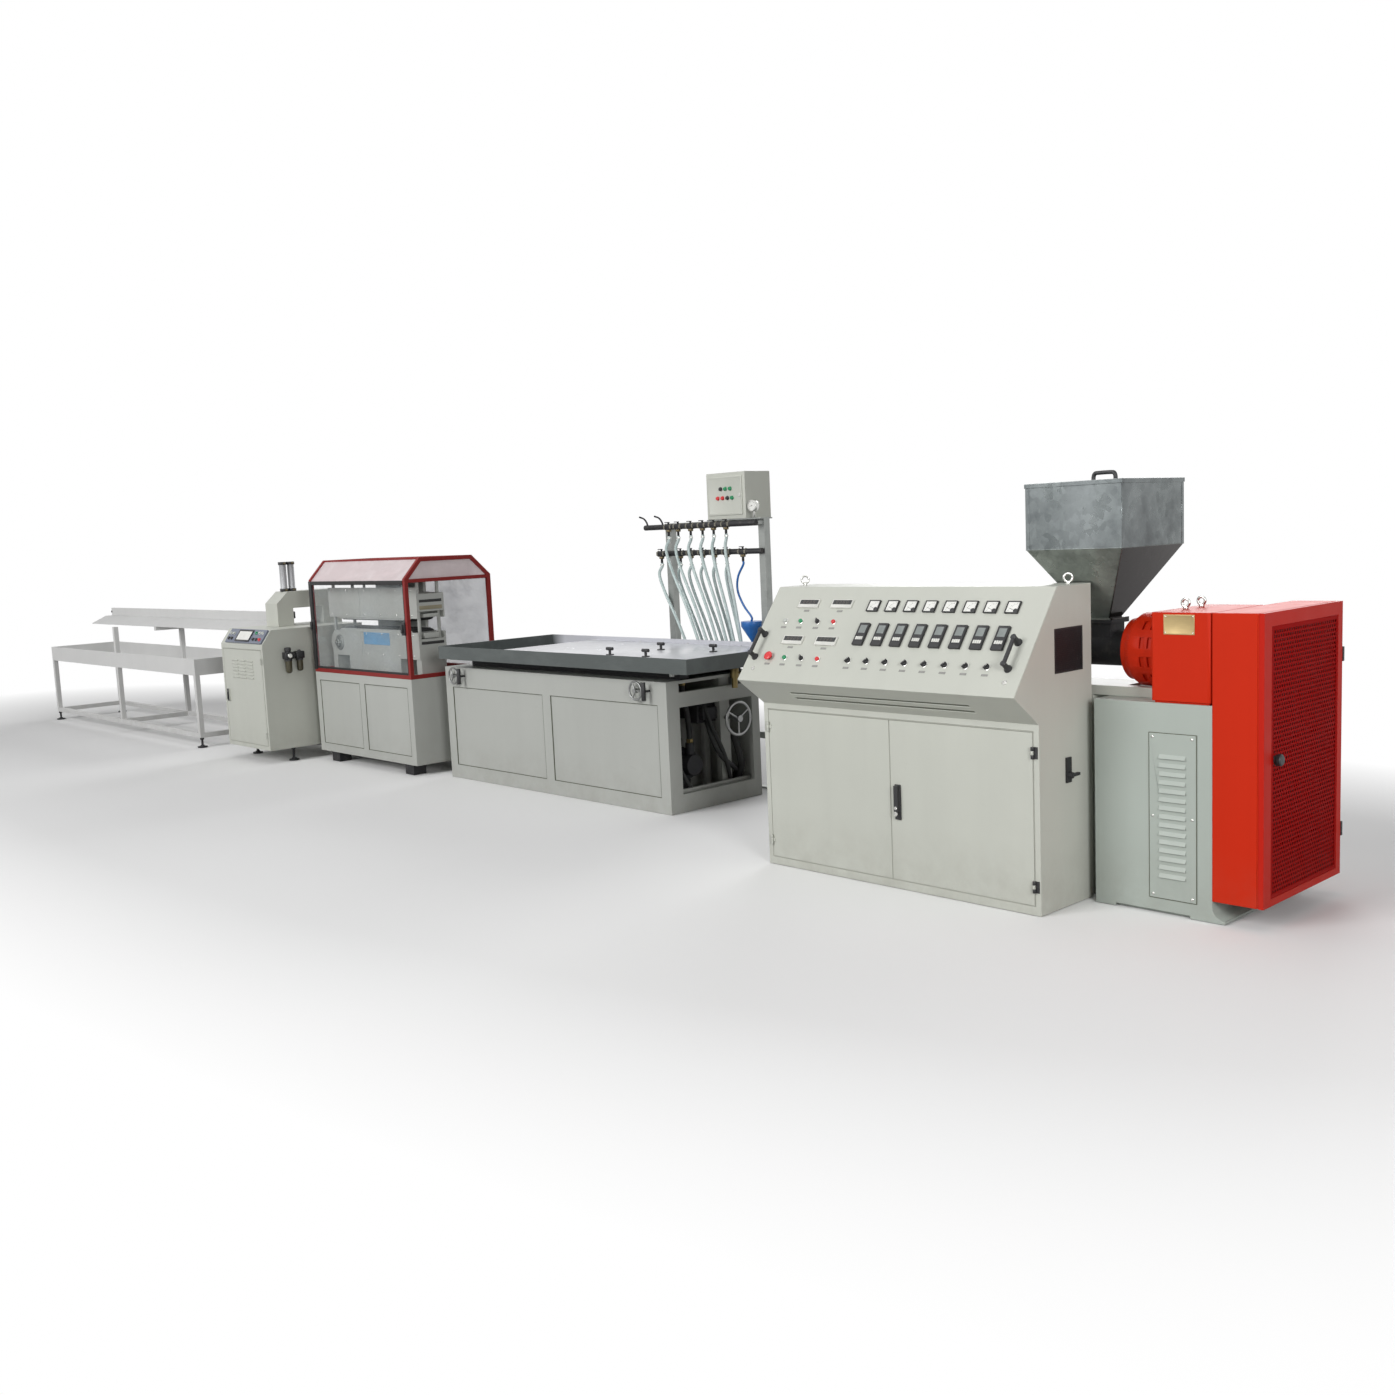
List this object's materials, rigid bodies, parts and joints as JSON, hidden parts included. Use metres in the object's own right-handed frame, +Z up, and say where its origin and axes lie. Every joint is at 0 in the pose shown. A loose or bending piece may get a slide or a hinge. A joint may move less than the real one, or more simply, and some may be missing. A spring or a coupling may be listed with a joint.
{
  "type": "profile extrusion line",
  "caption": "Profile extrusion line: extruder with hopper and console, calibrating table with hose rack, hooded haul-off, cutter and stacker",
  "frame": {"origin": "on the floor under the screw axis, at the middle of the extruder base's length", "axes": "X along the line with the belt guard at +X and the stacker at -X, Y across the line with the door side of the console at -Y, Z up"},
  "size_m": [12.273, 1.749, 1.941],
  "materials": {
    "base_paint": "satin blue-grey machine paint",
    "grey_paint": "satin warm light grey machine paint",
    "red_paint": "satin orange-red machine paint",
    "dark_red_paint": "satin dark red paint",
    "blue_grey_paint": "satin blue-grey paint",
    "galvanised": "mottled zinc sheet",
    "plain_steel": "bare steel",
    "bright_steel": "bright plated steel",
    "black_iron": "black cast iron",
    "brass": "dull brass",
    "black_plastic": "matte black plastic",
    "pale_plastic": "pale plastic",
    "blue_plastic": "blue plastic",
    "clear_hose": "milky clear hose",
    "clear_pane": "clear sheet",
    "black_rubber": "black rubber"
  },
  "bodies": {
    "line": {"extruder_base": "base_paint", "louvre_panel": "base_paint", "gearbox": "red_paint", "gearbox_nose": "red_paint", "lifting_eyes": "bright_steel", "belt_guard": "red_paint", "belt_drive": "black_rubber", "feed_throat": "black_iron", "hopper": "galvanised", "hopper_lid": "galvanised", "barrel": "black_iron", "heater_bands": "plain_steel", "barrel_stand": "grey_paint", "die_head": "plain_steel", "console_cabinet": "grey_paint", "door_hinges": "black_plastic", "instrument_panel": "grey_paint", "panel_meters": "pale_plastic", "temperature_controllers": "black_plastic", "panel_switches": "black_plastic", "bow_handles": "black_plastic", "main_switch": "black_plastic", "table_cabinet": "grey_paint", "water_tray": "plain_steel", "tray_slides": "black_iron", "clamp_knobs": "black_plastic", "pump_unit": "black_iron", "drain_pipe": "brass", "cross_pipe": "plain_steel", "rack_frame": "plain_steel", "manifolds": "black_iron", "rack_box": "grey_paint", "pressure_gauge": "bright_steel", "hoses": "clear_hose", "funnel_hose": "blue_plastic", "funnel": "blue_plastic", "haul_off_base": "grey_paint", "hood_frame": "dark_red_paint", "hood_panes": "clear_pane", "track_frame": "grey_paint", "lower_track": "grey_paint", "cutter_cabinet": "grey_paint", "control_panel": "blue_grey_paint", "cutter_head": "grey_paint", "air_cylinders": "bright_steel", "air_unit": "black_plastic", "stacker_frame": "grey_paint", "receiving_tray": "grey_paint", "profile_trough": "grey_paint", "machine_feet": "black_iron"},
    "console_door_left": {"console_door_left": "grey_paint"},
    "console_door_right": {"console_door_right": "grey_paint", "door_handle": "black_plastic"},
    "guard_door": {"guard_door": "dark_red_paint"},
    "cutter_door": {"cutter_door": "grey_paint"},
    "handwheel_left": {"handwheel_left": "bright_steel"},
    "handwheel_right": {"handwheel_right": "bright_steel"},
    "end_handwheel": {"end_handwheel": "plain_steel"},
    "upper_track": {"upper_track": "grey_paint"}
  },
  "joints": [
    {"name": "console_door_left_hinge", "type": "hinge", "parent": "line", "child": "console_door_left", "pos_m": [-1.772, -0.557, 0.39], "axis": [0, 0, -1], "range_deg": [0, 110]},
    {"name": "console_door_right_hinge", "type": "hinge", "parent": "line", "child": "console_door_right", "pos_m": [-0.328, -0.557, 0.39], "axis": [0, 0, 1], "range_deg": [0, 110]},
    {"name": "guard_door_hinge", "type": "hinge", "parent": "line", "child": "guard_door", "pos_m": [0.427, 0.481, 0.64], "axis": [0, 0, 1], "range_deg": [0, 110]},
    {"name": "cutter_door_hinge", "type": "hinge", "parent": "line", "child": "cutter_door", "pos_m": [-6.968, -0.597, 0.495], "axis": [0, 0, 1], "range_deg": [0, 110]},
    {"name": "handwheel_left_spin", "type": "hinge", "parent": "line", "child": "handwheel_left", "pos_m": [-5.114, -0.12, 0.704], "axis": [0, -1, 0], "continuous": true},
    {"name": "handwheel_right_spin", "type": "hinge", "parent": "line", "child": "handwheel_right", "pos_m": [-3.238, -0.12, 0.704], "axis": [0, -1, 0], "continuous": true},
    {"name": "end_handwheel_spin", "type": "hinge", "parent": "line", "child": "end_handwheel", "pos_m": [-2.988, 0.45, 0.49], "axis": [1, 0, 0], "continuous": true},
    {"name": "upper_track_lift", "type": "slide", "parent": "line", "child": "upper_track", "axis": [0, 0, 1], "range_m": [0, 0.06]}
  ]
}
